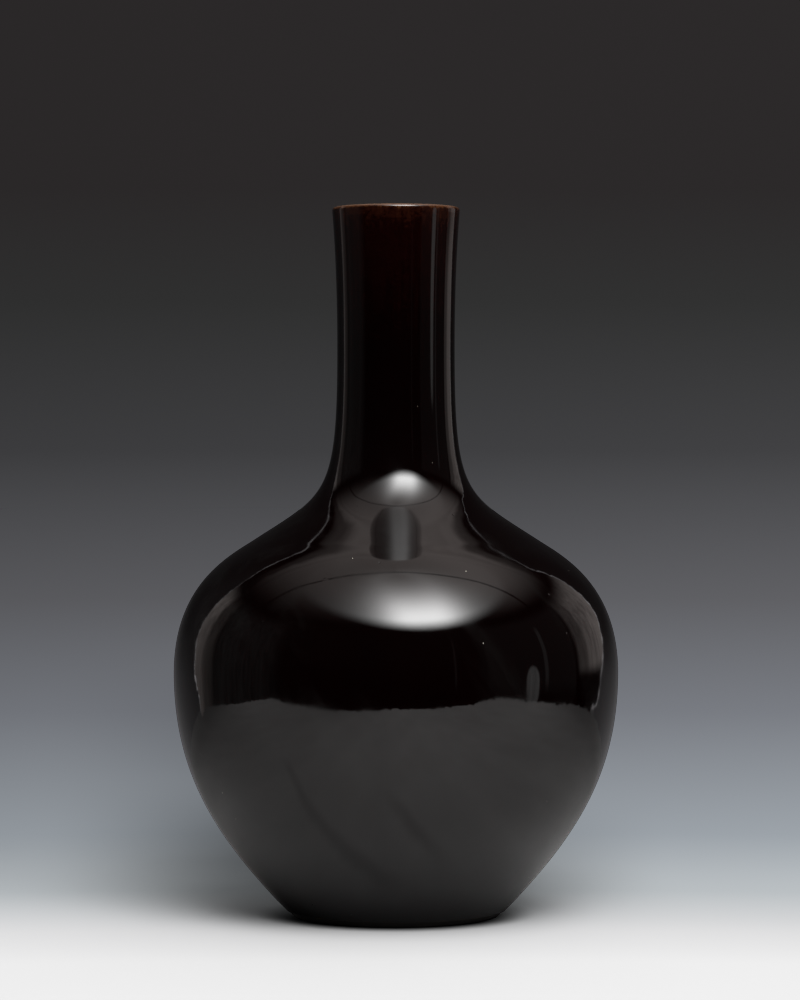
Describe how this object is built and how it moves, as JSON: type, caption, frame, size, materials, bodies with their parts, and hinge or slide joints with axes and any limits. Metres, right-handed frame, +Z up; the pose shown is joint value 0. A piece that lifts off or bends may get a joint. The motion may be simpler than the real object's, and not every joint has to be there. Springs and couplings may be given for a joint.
{
  "type": "bottle vase",
  "caption": "Tall-necked porcelain bottle vase with a round body, a plain cylindrical neck, a short foot ring and a mirror-black glaze.",
  "frame": {"origin": "centre of the resting face of the foot ring", "axes": "+Z up along the vase's axis; the vase is round, so X and Y are any two directions across it"},
  "size_m": [0.2636, 0.2636, 0.42],
  "materials": {
    "porcelain": "bare fired porcelain, matt",
    "slip": "fired slip, matt",
    "mirror_black_glaze": "mirror-black gloss, red-brown where thin at the lip",
    "clear_glaze": "clear gloss over white"
  },
  "bodies": {
    "root": {"lower_body": "porcelain", "upper_body": "porcelain", "neck": "porcelain", "belly_seam": "slip", "neck_seam": "slip", "outer_glaze": "mirror_black_glaze", "inner_glaze": "clear_glaze", "base_glaze": "clear_glaze"}
  },
  "joints": []
}
